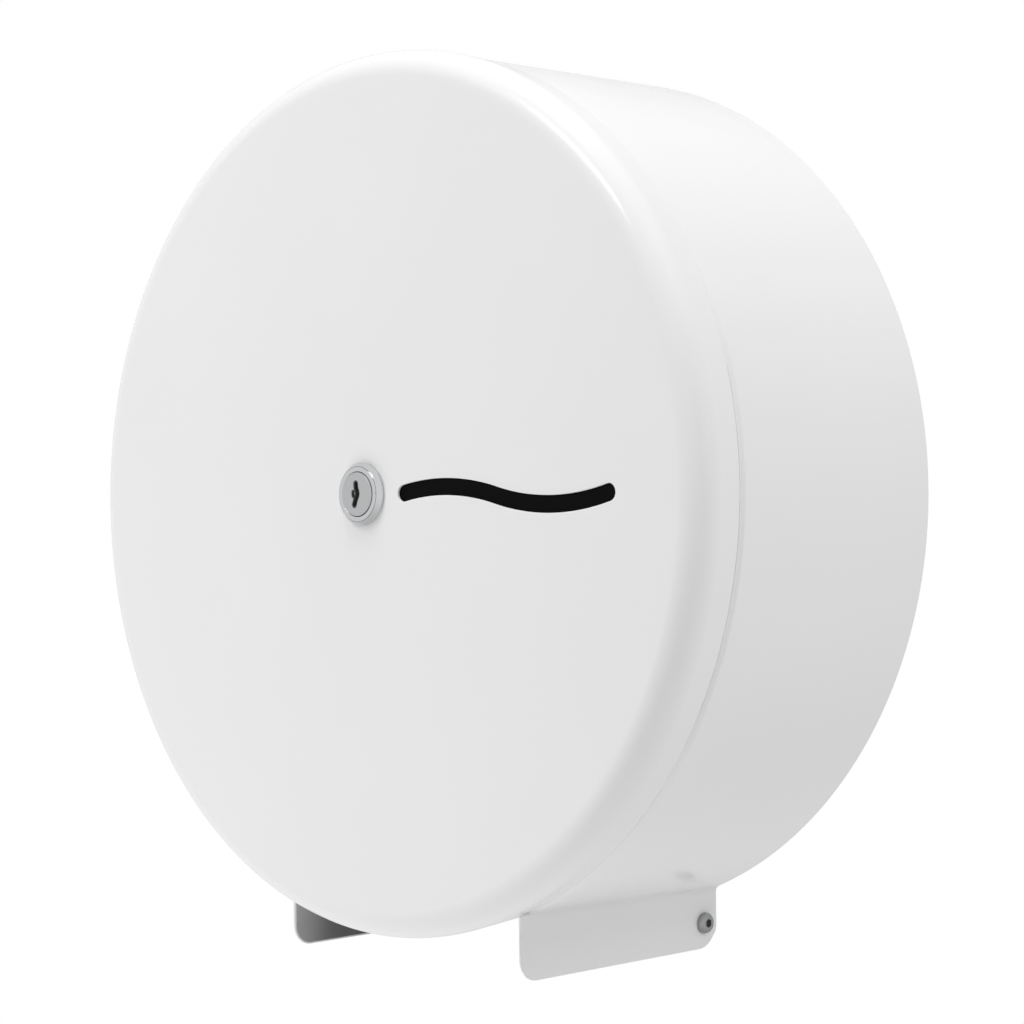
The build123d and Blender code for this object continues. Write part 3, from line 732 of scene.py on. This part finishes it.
def make_hinge_screws():
    """Two button head screws: a dome turned about X with a hex socket.

    The dome is a quarter ellipse from the head's rim to the flat around the socket. In the
    socket the radius is scaled to a hexagon by 1 / cos(angle within a sixth of a turn).
    """
    socket = hex_flats / 2
    angle = np.arange(small_count) * 2 * pi / small_count
    hexagon = 1 / np.cos((angle + pi / 6) % (pi / 3) - pi / 6)
    height = screw_head_top - screw_seat
    length = screw_tip - screw_seat
    rise = np.linspace(0, pi / 2, 12)
    dome = np.column_stack((
        screw_flat_radius + (screw_head_radius - screw_flat_radius) * np.cos(rise),
        screw_head_rim + (height - screw_head_rim) * np.sin(rise),
    ))
    shank = [(0, length), (screw_radius - screw_chamfer, length),
             (screw_radius, length + screw_chamfer), (screw_radius, 0),
             (screw_head_radius - screw_break, 0), (screw_head_radius, screw_break)]
    opening = [(socket + 2 * screw_break, height), (socket + screw_break, height),
               (socket, height - screw_break), (socket, height - hex_depth),
               (0, height - hex_depth - screw_chamfer)]
    profile = np.vstack((shank, dome, opening))
    in_socket = np.arange(len(profile)) >= len(shank) + len(dome)
    radius = profile[:, :1] * np.where(in_socket[:, None], hexagon, 1.0)
    across = np.repeat(screw_seat + profile[:, 1:], small_count, axis=1)
    heads, sockets = [], []
    for side in (1, -1):
        points = np.stack((side * across, -screw_place[0] + radius * np.cos(angle),
                           screw_place[1] + radius * np.sin(angle)), axis=-1)
        heads.append(grid(points[:-2]))
        sockets.append(grid(points[-3:]))
    piece("hinge_screw_pair", "hinge_screws", heads, sockets, recess)


make_dish()
make_band()
make_lock_body()
make_lock_plug()
make_hinge_screws()

for name, node in frame["nodes"].items():
    if not node.hide_render:
        node.data.materials.clear()
        node.data.materials.append(material_of_slot[slot_of_node[name]])

# ------------------------------------------------------------------- stage

floor_height = -0.75
floor_radius = 1.8
case_middle = Vector((0, -0.06, 0))


def make_floor():
    """Round pale floor far below the case, which the camera sees fade into the white."""
    material, tree, place = new_material("pale_floor")
    distance = add(tree, "ShaderNodeVectorMath", {"operation": "LENGTH"}, {0: place})
    fade = add(tree, "ShaderNodeMapRange", {"interpolation_type": "SMOOTHSTEP"},
               {"Value": distance.outputs["Value"], "From Min": 0.5, "From Max": 1.6})
    paint = add(tree, "ShaderNodeBsdfDiffuse", inputs={"Color": colour("#D2D2D2")})
    white = add(tree, "ShaderNodeEmission", inputs={"Color": colour("#FFFFFF"), "Strength": 1.0})
    paths = add(tree, "ShaderNodeLightPath")
    share = add(tree, "ShaderNodeMath", {"operation": "MULTIPLY"},
                {0: fade.outputs["Result"], 1: paths.outputs["Is Camera Ray"]})
    shader = add(tree, "ShaderNodeMixShader",
                 inputs={0: share.outputs[0], 1: paint.outputs[0], 2: white.outputs[0]})
    finish_material(tree, shader)
    loop = circle(floor_radius, small_count)
    mesh = bpy.data.meshes.new("floor")
    mesh.from_pydata(np.column_stack((loop, np.zeros(len(loop)))).tolist(), [],
                     [list(range(len(loop)))])
    mesh.materials.append(material)
    floor = bpy.data.objects.new("floor", mesh)
    floor.location.z = floor_height
    floor.visible_diffuse = False  # the tent gives all the light from below
    floor.visible_glossy = False
    bpy.context.scene.collection.objects.link(floor)


def softbox(name, azimuth, elevation, power, distance=1.5, size=(0.6, 0.6), mirrored=False):
    """Area lamp that looks at the middle of the case from a direction in degrees.

    Azimuth 0 is straight in front and 90 is to the right. The lamp leaves no mirror image on
    the piece, or, where mirrored is true, nothing but that.
    """
    lamp = bpy.data.lights.new(name, "AREA")
    lamp.shape = "RECTANGLE"
    lamp.size, lamp.size_y = size
    lamp.energy = power
    around, up = radians(azimuth), radians(elevation)
    away = Vector((sin(around) * cos(up), -cos(around) * cos(up), sin(up)))
    holder = bpy.data.objects.new(name, lamp)
    holder.location = case_middle + distance * away
    holder.rotation_euler = away.to_track_quat("Z", "Y").to_euler()
    holder.visible_glossy, holder.visible_diffuse = mirrored, not mirrored
    bpy.context.scene.collection.objects.link(holder)


def make_world():
    """White background for the camera, and a soft studio tent for everything else.

    The tent's light from a direction d is the sum over the three axes of d squared times
    the strength of the side that d points to.
    """
    world = bpy.data.worlds.new("studio")
    world.cycles.sampling_method = "NONE"
    world.use_nodes = True
    tree = world.node_tree
    tree.nodes.clear()
    direction = add(tree, "ShaderNodeTexCoord").outputs["Generated"]
    paths = add(tree, "ShaderNodeLightPath")

    def tent(right_back_top, left_front_bottom):
        total = None
        for limit, strengths in (("MAXIMUM", right_back_top), ("MINIMUM", left_front_bottom)):
            side = add(tree, "ShaderNodeVectorMath", {"operation": limit},
                       {0: direction, 1: (0, 0, 0)}).outputs[0]
            square = add(tree, "ShaderNodeVectorMath", {"operation": "MULTIPLY"},
                         {0: side, 1: side}).outputs[0]
            light = add(tree, "ShaderNodeVectorMath", {"operation": "DOT_PRODUCT"},
                        {0: square, 1: strengths}).outputs["Value"]
            if total is not None:
                light = add(tree, "ShaderNodeMath", {"operation": "ADD"},
                            {0: total, 1: light}).outputs[0]
            total = light
        return add(tree, "ShaderNodeBackground",
                   inputs={"Color": colour("#FFFFFF"), "Strength": total}).outputs[0]

    ambient = tent((0.15, 0.92, 0.2), (0.8, 0.4, 1.1))
    mirrored = tent((0.85, 0.6, 0.8), (0.75, 0.85, 0.55))
    white = add(tree, "ShaderNodeBackground", inputs={"Color": colour("#FFFFFF"), "Strength": 1.0})
    lit = add(tree, "ShaderNodeMixShader",
              inputs={0: paths.outputs["Is Glossy Ray"], 1: ambient, 2: mirrored})
    seen = add(tree, "ShaderNodeMixShader",
               inputs={0: paths.outputs["Is Camera Ray"], 1: lit.outputs[0], 2: white.outputs[0]})
    add(tree, "ShaderNodeOutputWorld", inputs={"Surface": seen.outputs[0]})
    bpy.context.scene.world = world


def make_camera():
    """Camera fitted to the outlines in the photo."""
    lens = bpy.data.cameras.new("camera")
    lens.lens = 87.27
    lens.sensor_width = 36
    camera = bpy.data.objects.new("camera", lens)
    turn, tilt, roll = radians(44.997), radians(90.638), radians(-0.716)
    place = Vector((649.6, -695.9, -16.5)) * MM
    camera.matrix_world = (
        Matrix.Translation(place) @ Matrix.Rotation(turn, 4, "Z")
        @ Matrix.Rotation(tilt, 4, "X") @ Matrix.Rotation(roll, 4, "Z")
    )
    bpy.context.scene.collection.objects.link(camera)
    bpy.context.scene.camera = camera


make_floor()
make_world()
make_camera()
softbox("top", 0, 75, 9.0)
softbox("front_left", -30, 45, 7.0)
softbox("below", -30, -45, 1.55, distance=0.75)
softbox("right", 90, 15, 4.9)
softbox("right_top", 90, 45, 5.2)
softbox("glint", -3, 46, 2.6, size=(0.7, 0.2), mirrored=True)  # the streak on the rolled edge

bpy.context.scene.view_settings.view_transform = "Standard"
